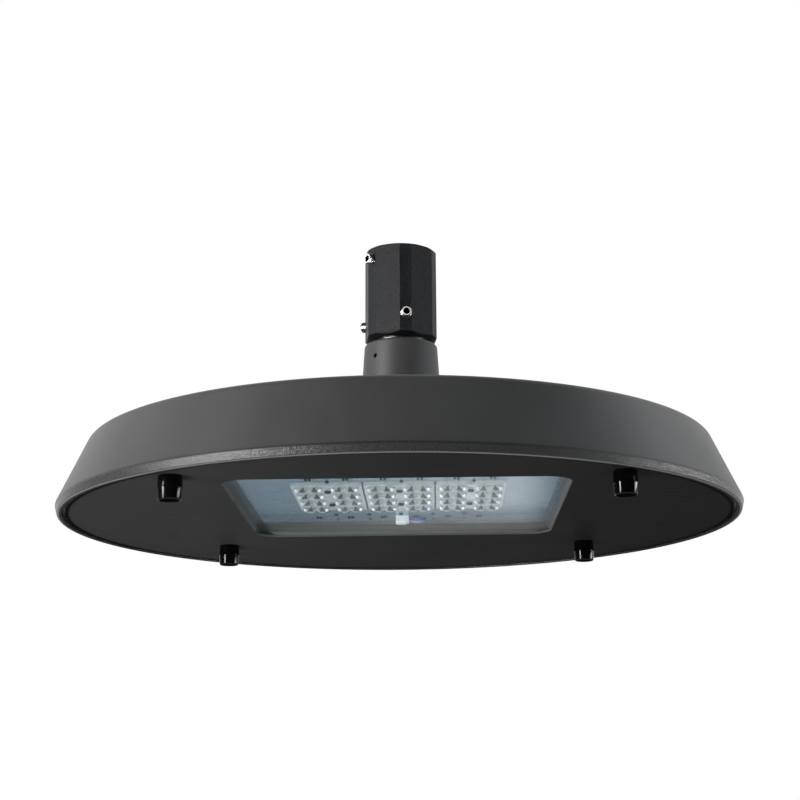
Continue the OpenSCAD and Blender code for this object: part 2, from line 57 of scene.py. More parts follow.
# Camera, fitted to the photograph
PICTURE_PX, FOCAL_PX, SENSOR_MM = 800, 1536.548, 36.0
CAMERA_PLACE = (0.028957, -1.359058, -0.214010)
CAMERA_TURN, CAMERA_TIP, CAMERA_ROLL = 0.011762, 0.248717, -0.013802
CAMERA_SHIFT = -0.0631


def make_camera():
    """A level camera turned to the right, tipped up and then rolled, all in radians."""
    turn, tip, roll = CAMERA_TURN, CAMERA_TIP, CAMERA_ROLL
    ahead = Vector((math.sin(turn) * math.cos(tip), math.cos(turn) * math.cos(tip), math.sin(tip)))
    right = Vector((math.cos(turn), -math.sin(turn), 0.0))
    up = right.cross(ahead)
    right_r = right * math.cos(roll) + up * math.sin(roll)
    up_r = up * math.cos(roll) - right * math.sin(roll)
    data = bpy.data.cameras.new("camera")
    data.sensor_width = SENSOR_MM
    data.lens = FOCAL_PX / PICTURE_PX * SENSOR_MM
    data.shift_x = CAMERA_SHIFT
    data.clip_start, data.clip_end = 0.05, 60.0
    cam = bpy.data.objects.new("camera", data)
    place = Matrix((right_r, up_r, -ahead)).transposed().to_4x4()
    place.translation = Vector(CAMERA_PLACE)
    cam.matrix_world = place
    bpy.context.scene.collection.objects.link(cam)
    bpy.context.scene.camera = cam


make_camera()


# Small tools for node trees
class Nodes:
    """The nodes of a material or of the world."""

    def __init__(self, owner):
        owner.use_nodes = True
        self.nt = owner.node_tree
        self.nt.nodes.clear()

    def node(self, kind, inputs=None, **props):
        n = self.nt.nodes.new(kind)
        for key, value in props.items():
            setattr(n, key, value)
        for key, value in (inputs or {}).items():
            if isinstance(value, bpy.types.NodeSocket):
                self.nt.links.new(value, n.inputs[key])
            else:
                n.inputs[key].default_value = value
        return n

    def math(self, op, a, b=0.0):
        return self.node("ShaderNodeMath", {0: a, 1: b}, operation=op).outputs[0]

    def ramp(self, value, low, high, out_low=0.0, out_high=1.0):
        return self.node("ShaderNodeMapRange", {
            "Value": value, "From Min": low, "From Max": high, "To Min": out_low, "To Max": out_high,
        }, interpolation_type="SMOOTHSTEP").outputs[0]


class Tree(Nodes):
    """A material's nodes, in object coordinates, which are metres in the CAD frame."""

    def __init__(self, name):
        self.mat = bpy.data.materials.new(name)
        super().__init__(self.mat)
        self.out = self.node("ShaderNodeOutputMaterial")
        self.coord = self.node("ShaderNodeTexCoord").outputs["Object"]
        self.axes = self.node("ShaderNodeSeparateXYZ", {0: self.coord}).outputs

    def away(self):
        """Distance from the lantern's upright axis."""
        squares = (self.math("POWER", self.axes[name], 2.0) for name in ("X", "Y"))
        return self.math("SQRT", self.math("ADD", *squares))

    def noise(self, scale, detail=2.0, rough=0.5, stretch=None, distortion=0.0):
        where = self.coord
        if stretch:
            where = self.node("ShaderNodeMapping", {"Vector": self.coord, "Scale": stretch}).outputs[0]
        return self.node("ShaderNodeTexNoise", {
            "Vector": where, "Scale": scale, "Detail": detail, "Roughness": rough, "Distortion": distortion,
        }).outputs["Fac"]

    def blend(self, fac, a, b):
        n = self.node("ShaderNodeMix", {0: fac}, data_type="RGBA")
        for socket, value in ((n.inputs[6], a), (n.inputs[7], b)):
            if isinstance(value, bpy.types.NodeSocket):
                self.nt.links.new(value, socket)
            else:
                socket.default_value = (*value, 1.0)
        return n.outputs[2]

    def bump(self, height, distance, strength=1.0, normal=None):
        inputs = {"Height": height, "Distance": distance, "Strength": strength}
        if normal:
            inputs["Normal"] = normal
        return self.node("ShaderNodeBump", inputs).outputs[0]

    def principled(self, **inputs):
        named = {key.replace("_", " "): value for key, value in inputs.items()}
        return self.node("ShaderNodeBsdfPrincipled", named)

    def finish(self, shader):
        self.nt.links.new(shader.outputs[0], self.out.inputs["Surface"])
        return self.mat


def tint(colour, factor):
    return tuple(c * factor for c in colour)


def coated(name, colour, rough, spec, grain=2600.0, depth=0.00002, vary=0.12, cloud=14.0, metal=0.0):
    """A painted, moulded or plated surface: cloudy tone, fine grain and uneven gloss."""
    t = Tree(name)
    clouds = t.noise(cloud, 4.0, 0.6)
    specks = t.noise(grain, 2.0, 0.6)
    tone = t.blend(t.ramp(clouds, 0.3, 0.7), tint(colour, 1 - vary), tint(colour, 1 + vary))
    tone = t.blend(t.ramp(specks, 0.55, 0.8, 0.0, 0.5), tone, tint(colour, 1.6))
    uneven = t.ramp(specks, 0.3, 0.7, rough - 0.04, rough + 0.04)
    gloss = t.math("ADD", t.ramp(clouds, 0.3, 0.7, -0.04, 0.04), uneven)
    p = t.principled(Base_Color=tone, Roughness=gloss, Normal=t.bump(specks, depth))
    p.inputs["Specular IOR Level"].default_value = spec
    p.inputs["Metallic"].default_value = metal
    return t.finish(p)


# Materials
def housing_material():
    """Textured powder coat, coarser on the band at the foot."""
    t = Tree("housing_paint")
    z = t.axes["Z"]
    clouds = t.noise(9.0, 4.0, 0.6)
    fine = t.noise(1500.0, 3.0, 0.65)
    coarse = t.noise(620.0, 3.0, 0.7)
    on_band = t.ramp(z, RIM + 0.0075, RIM + 0.0062)
    tone = t.blend(t.ramp(clouds, 0.3, 0.7), (0.034, 0.0345, 0.035), (0.042, 0.0425, 0.043))
    tone = t.blend(on_band, tone, (0.021, 0.0215, 0.022))
    flecks = t.math("MULTIPLY", t.ramp(fine, 0.55, 0.85), 0.5)
    tone = t.blend(flecks, tone, (0.075, 0.076, 0.078))
    # A painted shade line where the wall meets the band, a painted highlight on the foot and painted shade on its
    # inner half
    # Painted shade: the crease between wall and band is darkened
    crease_painted_shade = t.math("MULTIPLY", t.ramp(z, RIM + 0.0064, RIM + 0.0068), t.ramp(z, RIM + 0.0084, RIM + 0.0078))
    tone = t.blend(t.math("MULTIPLY", crease_painted_shade, 0.6), tone, (0.010, 0.010, 0.010))
    # The foot's flat ring is painted pale: a painted highlight
    foot = t.ramp(z, RIM + 0.0005, RIM + 0.0002)
    # Its inner half is painted nearly black: painted shade of the groove next to the cover
    inner = t.math("MULTIPLY", foot, t.ramp(t.away(), 0.2979, 0.2974))
    tone = t.blend(foot, tone, (0.110, 0.110, 0.112))
    tone = t.blend(inner, tone, (0.002, 0.002, 0.002))
    tone = t.blend(t.ramp(z, NECK_LOW, NECK_HIGH), tone, (0.036, 0.036, 0.036))
    height = t.math("ADD", fine, t.math("MULTIPLY", t.math("MULTIPLY", coarse, on_band), 11.0))
    gloss = t.math("ADD", t.ramp(clouds, 0.3, 0.7, 0.40, 0.46), t.ramp(fine, 0.3, 0.7, -0.03, 0.05))
    gloss = t.math("SUBTRACT", gloss, t.math("MULTIPLY", on_band, 0.15))
    gloss = t.math("ADD", gloss, t.math("MULTIPLY", foot, 0.30))
    gloss = t.math("ADD", gloss, t.math("MULTIPLY", inner, 0.25))
    gloss = t.math("ADD", gloss, t.ramp(z, NECK_LOW, NECK_HIGH, 0.0, 0.10))
    p = t.principled(Base_Color=tone, Roughness=gloss, Normal=t.bump(height, 0.00004))
    p.inputs["Specular IOR Level"].default_value = 0.5
    return t.finish(p)


def cover_material():
    """Matte black sheet with faint rolling ripples towards both sides."""
    t = Tree("cover_black")
    x, y = t.axes["X"], t.axes["Y"]
    left = t.math("MULTIPLY", t.ramp(x, -0.12, -0.17), t.ramp(y, -0.12, -0.03))
    side = t.math("ADD", left, t.ramp(x, 0.16, 0.24, 0.0, 0.35))
    waves = t.noise(24.0, 3.0, 0.5, stretch=(0.32, 2.8, 1.0), distortion=0.9)
    fine = t.noise(1900.0, 2.0, 0.6)
    clouds = t.noise(7.0, 3.0, 0.6)
    tone = t.blend(t.ramp(clouds, 0.3, 0.7), (0.0265, 0.0265, 0.0268), (0.0315, 0.0315, 0.0318))
    tone = t.blend(t.ramp(fine, 0.6, 0.85, 0.0, 0.35), tone, (0.05, 0.05, 0.051))
    # Darker towards the right: painted shade, since the left side gets more light
    tone = t.blend(t.ramp(x, -0.20, 0.06, 0.0, 0.8), tone, (0.008, 0.008, 0.0082))
    # Nearly black near the outer edge: painted shade of the groove at the housing's foot
    tone = t.blend(t.ramp(t.away(), 0.2885, 0.2905), tone, (0.002, 0.002, 0.002))
    # The cut edges are painted paler than the two faces: a painted highlight
    normal = t.node("ShaderNodeNewGeometry").outputs["True Normal"]
    facing = t.node("ShaderNodeSeparateXYZ", {0: normal}).outputs["Z"]
    tone = t.blend(t.ramp(t.math("ABSOLUTE", facing), 0.6, 0.4), tone, (0.080, 0.079, 0.077))
    ripples = t.bump(t.math("MULTIPLY", waves, side), 0.004, 0.40, normal=t.bump(fine, 0.00003))
    gloss = t.ramp(clouds, 0.3, 0.7, 0.44, 0.52)
    p = t.principled(Base_Color=tone, Roughness=gloss, Normal=ripples)
    p.inputs["IOR"].default_value = 1.03
    return t.finish(p)


def sleeve_material():
    """Black anodised extrusion with a fine sparkling grain and painted shade on its turned ends."""
    t = Tree("sleeve_black")
    grain = t.noise(760.0, 3.0, 0.8)
    streaks = t.noise(60.0, 3.0, 0.6, stretch=(1.0, 1.0, 0.06))
    tone = t.blend(t.ramp(streaks, 0.3, 0.7), (0.0080, 0.0090, 0.0105), (0.0110, 0.0120, 0.0140))
    tone = t.blend(t.ramp(grain, 0.50, 0.72, 0.0, 0.55), tone, (0.052, 0.053, 0.055))
    # Both turned ends are painted near black: painted shade on their chamfers
    top = t.ramp(t.axes["Z"], SLEEVE_TOP - 0.0017, SLEEVE_TOP - 0.0012)
    foot = t.ramp(t.axes["Z"], SLEEVE_LOW + 0.0038, SLEEVE_LOW + 0.0033)
    tone = t.blend(t.math("MAXIMUM", top, foot), tone, (0.004, 0.004, 0.0045))
    gloss = t.ramp(streaks, 0.3, 0.7, 0.42, 0.50)
    p = t.principled(Base_Color=tone, Roughness=gloss, Normal=t.bump(grain, 0.00025))
    p.inputs["IOR"].default_value = 1.27
    return t.finish(p)


def steel_material(name, colour=(0.62, 0.61, 0.60), rough=0.2):
    """Bright steel with fine turning marks."""
    t = Tree(name)
    marks = t.noise(1400.0, 2.0, 0.6)
    clouds = t.noise(160.0, 3.0, 0.6)
    tone = t.blend(t.ramp(clouds, 0.3, 0.7), tint(colour, 0.82), tint(colour, 1.08))
    gloss = t.ramp(clouds, 0.25, 0.75, rough - 0.06, rough + 0.1)
    p = t.principled(Base_Color=tone, Roughness=gloss, Normal=t.bump(marks, 0.00002))
    p.inputs["Metallic"].default_value = 1.0
    return t.finish(p)


def pane_material():
    """Coated window glass: it passes nearly everything and reflects a little, more at a slant."""
    t = Tree("window_glass")
    haze = t.noise(18.0, 3.0, 0.6)
    slant = t.node("ShaderNodeFresnel", {"IOR": 1.45}).outputs[0]
    share = t.math("MULTIPLY", slant, t.ramp(haze, 0.3, 0.7, 0.09, 0.11))
    tone = t.blend(haze, (0.95, 0.975, 0.985), (0.94, 0.97, 0.98))
    clear = t.node("ShaderNodeBsdfTransparent", {"Color": tone})
    shine = t.node("ShaderNodeBsdfGlossy", {"Color": (*WHITE, 1.0), "Roughness": 0.02})
    return t.finish(t.node("ShaderNodeMixShader", {0: share, 1: clear.outputs[0], 2: shine.outputs[0]}))


def lens_material():
    """Clear moulding: see-through from the front, whitish where its surface turns away."""
    t = Tree("lens_clear")
    haze = t.noise(90.0, 3.0, 0.6)
    edge = t.node("ShaderNodeLayerWeight", {"Blend": 0.45}).outputs["Facing"]
    share = t.math("ADD", t.ramp(edge, 0.20, 0.92, 0.09, 0.74), t.ramp(haze, 0.3, 0.7, -0.03, 0.03))
    p = t.principled(Base_Color=t.blend(t.ramp(haze, 0.3, 0.7), (0.56, 0.59, 0.59), (0.68, 0.70, 0.69)))
    p.inputs["Roughness"].default_value = 0.10
    p.inputs["IOR"].default_value = 1.7
    clear = t.node("ShaderNodeBsdfTransparent", {"Color": (0.93, 0.95, 0.95, 1.0)})
    return t.finish(t.node("ShaderNodeMixShader", {0: share, 1: clear.outputs[0], 2: p.outputs[0]}))


def board_material():
    """Glossy pale solder mask, with copper planes showing faintly through it."""
    t = Tree("board_white")
    clouds = t.noise(22.0, 3.0, 0.6)
    fine = t.noise(900.0, 2.0, 0.6)
    tone = t.blend(t.ramp(clouds, 0.3, 0.7), (0.130, 0.195, 0.255), (0.150, 0.215, 0.275))
    gloss = t.ramp(clouds, 0.3, 0.7, 0.16, 0.22)
    p = t.principled(Base_Color=tone, Roughness=gloss, Normal=t.bump(fine, 0.00001))
    p.inputs["Specular IOR Level"].default_value = 1.0
    return t.finish(p)


MATS = {
    "housing_paint": housing_material(),
    "cover_black": cover_material(),
    "sleeve_black": sleeve_material(),
    "knob_black": coated("knob_black", (0.0015, 0.0015, 0.0018), 0.12, 0.16, 300.0, 0.0000005, 0.15),
    "seal_rubber": coated("seal_rubber", (0.020, 0.020, 0.020), 0.8, 0.2, 900.0, 0.00003),
    "bead_grey": coated("bead_grey", (0.120, 0.116, 0.112), 0.6, 0.25, 1200.0, 0.00002),
    "window_glass": pane_material(),
    "frame_black": coated("frame_black", (0.125, 0.120, 0.115), 0.6, 0.25, 1600.0, 0.00003),
    "sink_aluminium": coated("sink_aluminium", (0.125, 0.175, 0.220), 0.20, 1.0, 1800.0, 0.000004, 0.05, 30.0),
    "board_white": board_material(),
    "chip_yellow": coated("chip_yellow", (0.80, 0.62, 0.12), 0.35, 0.5, 900.0, 0.00001),
    "lens_clear": lens_material(),
    "screw_steel": steel_material("screw_steel"),
    "screw_black": coated("screw_black", (0.012, 0.012, 0.013), 0.45, 0.4, 900.0, 0.00001, 0.2, 60.0),
    "earth_brass": steel_material("earth_brass", (0.72, 0.52, 0.22), 0.3),
    "connector_white": coated("connector_white", (0.78, 0.78, 0.74), 0.35, 0.5, 800.0, 0.00001, 0.05),
    "wire_blue": coated("wire_blue", (0.04, 0.27, 0.80), 0.4, 0.5, 900.0, 0.00001),
    "wire_red": coated("wire_red", (0.78, 0.17, 0.06), 0.4, 0.5, 900.0, 0.00001),
    "tray_steel": steel_material("tray_steel", (0.56, 0.57, 0.58), 0.4),
    "driver_case": coated("driver_case", (0.58, 0.59, 0.60), 0.42, 0.5, 700.0, 0.00002, 0.06, 20.0, 1.0),
    "surge_case": coated("surge_case", (0.05, 0.055, 0.07), 0.5, 0.4),
    "terminal_white": coated("terminal_white", (0.72, 0.71, 0.66), 0.45, 0.4, 800.0, 0.00002, 0.05),
    "gland_black": coated("gland_black", (0.02, 0.02, 0.02), 0.5, 0.4),
    "zinc_steel": steel_material("zinc_steel", (0.60, 0.60, 0.58), 0.32),
    # Finishes of details, which no CAD node has as a whole, and the colours of painted shade, reflections and
    # highlights
    "knob_end": coated("knob_end", (0.002, 0.002, 0.002), 0.9, 0.0, 700.0, 0.000004, 0.15),
    "pad_dark": coated("pad_dark", (0.004, 0.004, 0.005), 0.85, 0.0, 900.0, 0.00001),
    "screw_end": coated("screw_end", (0.80, 0.79, 0.77), 0.4, 0.8, 900.0, 0.00001, 0.08, 300.0, 0.35),
    # The socket's near black is painted shade in the recess
    "socket_painted_shade": coated("socket_painted_shade", (0.004, 0.004, 0.004), 0.85, 0.0, 900.0, 0.00001),
    # A painted dark reflection inside the lenses
    "lens_painted_dark_reflection": coated("lens_painted_dark_reflection", (0.022, 0.024, 0.024), 0.35, 0.4, 500.0, 0.00001, 0.35, 60.0),
    # A painted highlight on the lenses
    "lens_painted_glint": coated("lens_painted_glint", (0.86, 0.87, 0.86), 0.2, 0.8, 500.0, 0.00001, 0.06),
}
SLOT = {row["node"]: row["material_slot"] for row in frame["record"]["subparts"]}
for node_name, obj in NODES.items():
    obj.data.materials.clear()
    obj.data.materials.append(MATS[SLOT[node_name]])


# Detailed pieces, worked out in millimetres in the CAD frame
def add_piece(name, shape, slot, nodes=(), sharp=30.0, finish=None):
    """Makes a mesh of a shape. It has its slot's material unless finish names another."""
    mesh = bpy.data.meshes.new(name)
    mesh.from_pydata([(x * MM, y * MM, z * MM) for x, y, z in shape.points], [], shape.faces)
    mesh.update()
    mesh.shade_smooth()
    mesh.set_sharp_from_angle(angle=math.radians(sharp))
    mesh.materials.append(MATS[finish or slot])
    obj = bpy.data.objects.new(name, mesh)
    bpy.context.scene.collection.objects.link(obj)
    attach(obj, "root")
    if nodes:
        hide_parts(*nodes)
    return obj


class Shape:
    """Points and faces of one piece, gathered from several solids."""

    def __init__(self):
        self.points, self.faces = [], []

    def rings(self, rings):
        """Skins rings of equal length, each a list of points, and caps both ends."""
        base, count = len(self.points), len(rings[0])
        for ring in rings:
            self.points.extend(ring)
        for i in range(len(rings) - 1):
            for j in range(count):
                k = (j + 1) % count
                a, b = base + i * count, base + (i + 1) * count
                self.faces.append((a + j, a + k, b + k, b + j))
        last = base + (len(rings) - 1) * count
        self.faces.append(tuple(base + j for j in range(count))[::-1])
        self.faces.append(tuple(last + j for j in range(count)))

    def block(self, x0, y0, z0, x1, y1, z1):
        low = [(x0, y0, z0), (x1, y0, z0), (x1, y1, z0), (x0, y1, z0)]
        self.rings([low, [(x, y, z1) for x, y, _ in low]])


def circle(radius, steps):
    angles = [2 * math.pi * j / steps for j in range(steps)]
    return [(radius * math.cos(a), radius * math.sin(a)) for a in angles]


KNOBS = [(-170.0, -219.0), (174.0, -219.0), (-170.0, 123.0), (174.0, 123.0)]
# Radius and height of each ring of a knob, from the middle of its lower end to the top
KNOB_PROFILE = [
    (0.4, 1.5), (3.0, 1.5), (3.3, 1.1), (6.6, 0.9), (7.0, 0.15), (7.3, 0.0), (8.1, 0.0), (8.35, 0.08),
    (8.95, 0.62), (9.08, 0.85), (9.13, 1.2), (9.62, 8.5), (9.74, 8.9), (9.8, 9.15), (9.8, 9.65), (9.74, 9.85),
    (9.58, 10.05), (9.52, 10.4), (9.2, 17.2), (9.1, 18.2), (8.9, 18.75), (8.55, 18.97), (4.0, 18.98), (3.05, 18.98),
]


def make_knobs():
    """Moulded thumb knobs with a parting ridge, a rounded lower rim and a dished end."""
    s = Shape()
    steps, end_z, stand_r = 64, 1.51, 8.2
    for x, y in KNOBS:
        s.rings([[(x + a, y + b, z) for a, b in circle(r, steps)] for r, z in KNOB_PROFILE])
    knobs = add_piece("knobs", s, "knob_black", ["cover_knobs"], 38.0)
    # The dished end is matt, up to the ring at 8.1 mm on which a knob stands
    knobs.data.materials.append(MATS["knob_end"])
    for face in knobs.data.polygons:
        if all(knobs.data.vertices[i].co[2] < end_z * MM for i in face.vertices):
            radius = min(math.hypot(face.center[0] - x * MM, face.center[1] - y * MM) for x, y in KNOBS)
            if radius < stand_r * MM:
                face.material_index = 1


# The lamp panel: lenses from the middle of a plate, the middle of the window, and the board's lower face
LENS_X, LENS_Y = (-15.0, 15.0), (-45.0, -15.0, 15.0, 45.0)
PLATE_PITCH, PLATE_T = 60.0, 2.0
WINDOW_Y = -63.0
BOARD_Z = 31.8
# Each lens has two humps, one at each side of its middle. They are parts of balls, with a flattened top
HUMP_R, HUMP_SINK, HUMP_TOP, HUMP_SIDE = 7.4, 2.6, 4.72, 5.0
HUMP_NOTCH, HUMP_STRETCH = 1.12, 0.92  # squeezed on the flank at the notch, stretched along the column
LENS_REACH = (12.8, 8.5)


def lens_height(x, y):
    """How far the moulding stands below its plate at a place on the plate."""
    best = 0.0
    for cx in LENS_X:
        for cy in LENS_Y:
            dx, dy = x - cx, y - cy
            if abs(dx) > LENS_REACH[0] or abs(dy) > LENS_REACH[1]:
                continue
            for side in (-HUMP_SIDE, HUMP_SIDE):
                ex = dx - side
                # The flank that faces the notch between two humps is steeper than the outer one
                ex *= 1.0 if ex * side > 0 else HUMP_NOTCH
                q = HUMP_R ** 2 - ex * ex - (dy * HUMP_STRETCH) ** 2
                if q > 0:
                    best = max(best, math.sqrt(q) - HUMP_SINK)
    return min(best, HUMP_TOP)


def make_lens_plates():
    """Clear mouldings with a rounded bulge at both ends of each column and a raised line along the edge."""
    half_w, half_l, bulge_half, bulge, lip_h = 29.4, 56.0, 13.5, 2.9, 0.35
    steps_x, steps_y = 84, 156
    for place, node in ((-1, "lens_plate_left"), (0, "lens_plate_middle"), (1, "lens_plate_right")):
        s = Shape()
        for iy in range(steps_y + 1):
            for ix in range(steps_x + 1):
                x = -half_w + 2 * half_w * ix / steps_x
                dx = abs(abs(x) - LENS_X[1]) / bulge_half
                reach = half_l + bulge * math.sqrt(max(0.0, 1 - dx * dx))
                y = -reach + 2 * reach * iy / steps_y
                h = lens_height(x, y)
                edge = min(half_w - abs(x), reach - abs(y))
                lip = lip_h if 0.5 < edge < 1.5 else 0.0
                s.points.append((x + place * PLATE_PITCH, y + WINDOW_Y, BOARD_Z - PLATE_T - max(h, lip)))
        width = steps_x + 1
        for iy in range(steps_y):
            for ix in range(steps_x):
                a = iy * width + ix
                s.faces.append((a, a + width, a + width + 1, a + 1))
        rim = list(range(width)) + [iy * width + steps_x for iy in range(1, steps_y + 1)]
        rim += [steps_y * width + ix for ix in range(steps_x - 1, -1, -1)]
        rim += [iy * width for iy in range(steps_y - 1, 0, -1)]
        top = len(s.points)
        for i in rim:
            x, y, _ = s.points[i]
            s.points.append((x, y, BOARD_Z - 0.02))
        n = len(rim)
        for j in range(n):
            k = (j + 1) % n
            s.faces.append((rim[j], rim[k], top + k, top + j))
        s.faces.append(tuple(top + j for j in range(n)))
        add_piece("lens_moulding_" + node.split("_")[-1], s, "lens_clear", [node], 28.0)


def make_lens_facets():
    """Inside each hump: a dark slanted piece, a painted reflection, and a bright drop at its outer end, a painted
    highlight.
    """
    dark, bright = Shape(), Shape()
    low, high = BOARD_Z - 6.2, BOARD_Z - 1.4
    # Radius and height of each ring of a drop, the painted highlight, from its lower end
    drop = ((0.8, 0.0), (1.3, 0.35), (1.65, 0.9), (1.75, 2.2))
    places = itertools.product((-1, 0, 1), LENS_X, LENS_Y, (-1, 1))
    for place, lens_x, lens_y, side in places:
        x, y = place * PLATE_PITCH + lens_x, lens_y + WINDOW_Y
        middle, tip_x, tip_y = x + side * 5.4, x + side * 4.2, y + 1.0
        foot = [(middle - 2.7, y - 3.4), (middle + 2.7, y - 3.4), (middle, y + 1.6)]
        tip = [(tip_x + (a - tip_x) * 0.12, tip_y + (b - tip_y) * 0.12, high) for a, b in foot]
        dark.rings([[(a, b, low) for a, b in foot], tip])
        end = x + side * 9.3
        bright.rings([[(end + a, y - 2.4 + b * (1.0 + 0.4 * a * side), low + 0.3 + up)
                       for a, b in circle(r, 16)] for r, up in drop])
    add_piece("lens_dark_reflections_painted", dark, "lens_clear", (), 20.0, "lens_painted_dark_reflection")
    add_piece("lens_glints_painted", bright, "lens_clear", (), 60.0, "lens_painted_glint")


def make_board_marks():
    """Pairs of pads, small parts and test points on the lamp board, and the dark clips between the lens plates."""
    s = Shape()
    low, high = BOARD_Z - 0.9, BOARD_Z + 0.2
    back_row = [(x, 40.0) for x in (-77.0, -48.0, -17.6, 12.2, 41.7, 70.3)]
    front_row = [(x, -137.5) for x in (-73.6, -43.0, -12.5, 17.6, 47.4, 76.9)]
    for (x, y), dx in itertools.product(back_row + front_row, (-1.45, 1.45)):
        s.block(x + dx - 0.95, y, low, x + dx + 0.95, y + 6.0, high)
    for x in (-60.3, -30.4, -1.5, 27.7, 56.8):
        s.block(x - 1.7, 27.6, low, x + 1.7, 30.6, high)
        if abs(x) > 5:
            s.block(x - 0.8, 52.5, low, x + 0.8, 55.5, high)
    for x in (-58.4, 2.4, 61.8):
        s.block(x - 1.3, -127.5, low - 0.65, x + 1.3, -124.6, high)
    add_piece("board_parts", s, "gland_black", finish="pad_dark")
    clips = Shape()
    for x, i in itertools.product((-PLATE_PITCH / 2, PLATE_PITCH / 2), range(17)):
        y = WINDOW_Y - 56.0 + 7.0 * i
        clips.block(x - 0.45, y - 1.5, BOARD_Z - 1.9, x + 0.45, y + 1.5, BOARD_Z + 0.1)
    add_piece("plate_clips", clips, "surge_case")


# A clamping screw's thread, its length, how far its inner end is from the sleeve's axis, and its socket
SCREW_R, THREAD_PITCH, THREAD_DEPTH = 5.0, 1.5, 0.85
SCREW_LENGTH, SCREW_INNER, SOCKET_R = 13.5, 25.4, 2.55
THREAD_STEP, SCREW_STEPS = 0.15, 48
SPIN = [2 * math.pi * j / SCREW_STEPS for j in range(SCREW_STEPS)]


def screw_rings():
    """Radii round a screw at each distance from its inner end, the socket's rings last."""
    rings = [([0.5] * SCREW_STEPS, 0.0), ([3.5] * SCREW_STEPS, 0.0)]
    along = THREAD_STEP
    while along < SCREW_LENGTH - 0.1:
        radii = []
        for t in SPIN:
            phase = (along / THREAD_PITCH + t / (2 * math.pi)) % 1.0
            tooth = SCREW_R - THREAD_DEPTH * min(1.0, max(0.0, 1.25 - abs(phase - 0.5) * 3.4))
            chamfer = min(SCREW_LENGTH - along + 3.95, 3.7 + along * 1.1)
            radii.append(min(tooth, chamfer))
        rings.append((radii, along))
        along += THREAD_STEP
    hexagon = [SOCKET_R / math.cos((t + math.pi / 6) % (math.pi / 3) - math.pi / 6) for t in SPIN]
    return rings + [
        ([4.0] * SCREW_STEPS, SCREW_LENGTH), ([h + 0.35 for h in hexagon], SCREW_LENGTH),
        (hexagon, SCREW_LENGTH - 0.35), ([h * 0.99 for h in hexagon], SCREW_LENGTH - 4.0),
        ([0.6] * SCREW_STEPS, SCREW_LENGTH - 5.0),
    ]


def make_screws(name, turns, z, node):
    """Headless screws with a real thread, a chamfered bright end and a hexagon socket in painted shade.

    They point outwards. Turns are in degrees from the front, counted towards the right.
    """
    s, ends = Shape(), []
    rows = screw_rings()
    for turn in turns:
        a = math.radians(turn)
        out, side = (math.sin(a), -math.cos(a)), (math.cos(a), math.sin(a))
        rings = []
        for radii, along in rows:
            w = SCREW_INNER + along
            flat = [(r * math.cos(t), r * math.sin(t)) for r, t in zip(radii, SPIN)]
            rings.append([(out[0] * w + side[0] * u, out[1] * w + side[1] * u, z + v) for u, v in flat])
        first = len(s.faces)
        s.rings(rings)
        # The last faces: two bands of the outer end, the socket's three bands and both caps
        bright, dark = first + (len(rings) - 6) * SCREW_STEPS, first + (len(rings) - 4) * SCREW_STEPS
        ends += [(bright, 2 * SCREW_STEPS, 1), (dark, 3 * SCREW_STEPS + 2, 2)]
    screws = add_piece(name, s, "screw_steel", [node], 40.0)
    screws.data.materials.append(MATS["screw_end"])
    screws.data.materials.append(MATS["socket_painted_shade"])
    for first, count, index in ends:
        for i in range(first, first + count):
            screws.data.polygons[i].material_index = index


def tube(shape, path, radius, steps=14):
    """A round tube along a list of points."""
    rings, side = [], Vector((0.0, 0.0, 1.0))
    points = [Vector(p) for p in path]
    for i, point in enumerate(points):
        ahead = (points[min(i + 1, len(points) - 1)] - points[max(i - 1, 0)]).normalized()
        side = (side - ahead * side.dot(ahead)).normalized()
        other = ahead.cross(side)
        rings.append([tuple(point + side * u + other * v) for u, v in circle(radius, steps)])
    shape.rings(rings)


def smooth_path(corners, steps=8):
    """A curve through a list of points."""
    pts = [corners[0]] + list(corners) + [corners[-1]]
    out = []
    for i in range(1, len(pts) - 2):
        a, b, c, d = (Vector(p) for p in pts[i - 1:i + 3])
        for k in range(steps):
            t = k / steps
            point = 2 * b + (c - a) * t + (2 * a - 5 * b + 4 * c - d) * t * t
            out.append(0.5 * (point + (3 * b - a - 3 * c + d) * t ** 3))
    out.append(Vector(corners[-1]))
    return out


def make_wires():
    """The two leads of the lamp board, which leave the connector side by side and go up through the panel."""
    z = BOARD_Z - 3.4
    for name, y, bend, node in (("lead_blue", 43.0, 1.2, "wire_blue"), ("lead_red", 49.0, -1.2, "wire_red")):
        s = Shape()
        x = 19.0 + bend
        path = [
            (3.1, y, z), (6.4, y, z - 0.1), (9.5, y + 0.3, z - 0.7), (13.0, y + 1.2, z - 0.9),
            (x - 2.0, y + 3.2, z - 0.4), (x, 54.0, z + 1.2), (x, 56.0, z + 4.5), (x, 56.0, z + 12.0),
            (x, 56.0, z + 25.0),
        ]
        tube(s, smooth_path(path), 0.95)
        add_piece(name, s, node, [node], 40.0)


def make_connector():
    """A white two-way plug: body, raised latch, ribs and wire collars."""
    s = Shape()
    x0, x1, y0, y1 = -6.5, 5.5, 39.0, 53.0
    low, high = BOARD_Z - 6.4, BOARD_Z - 0.02
    s.block(x0, y0, low + 1.2, x1, y1, high)
    s.block(x0 + 0.9, y0 + 1.0, low, x1 - 2.4, y1 - 1.0, low + 1.3)
    for y in (42.0, 46.0, 50.0):
        s.block(x0, y - 0.9, low + 0.5, x0 + 1.6, y + 0.9, low + 3.4)
    for y in (43.0, 49.0):
        collar = ((x1 - 2.0, 1.9), (x1 - 0.1, 1.9), (x1, 1.7))
        s.rings([[(x, y + a, BOARD_Z - 3.4 + b) for a, b in circle(r, 20)] for x, r in collar])
    add_piece("plug_body", s, "connector_white", ["board_connector"])


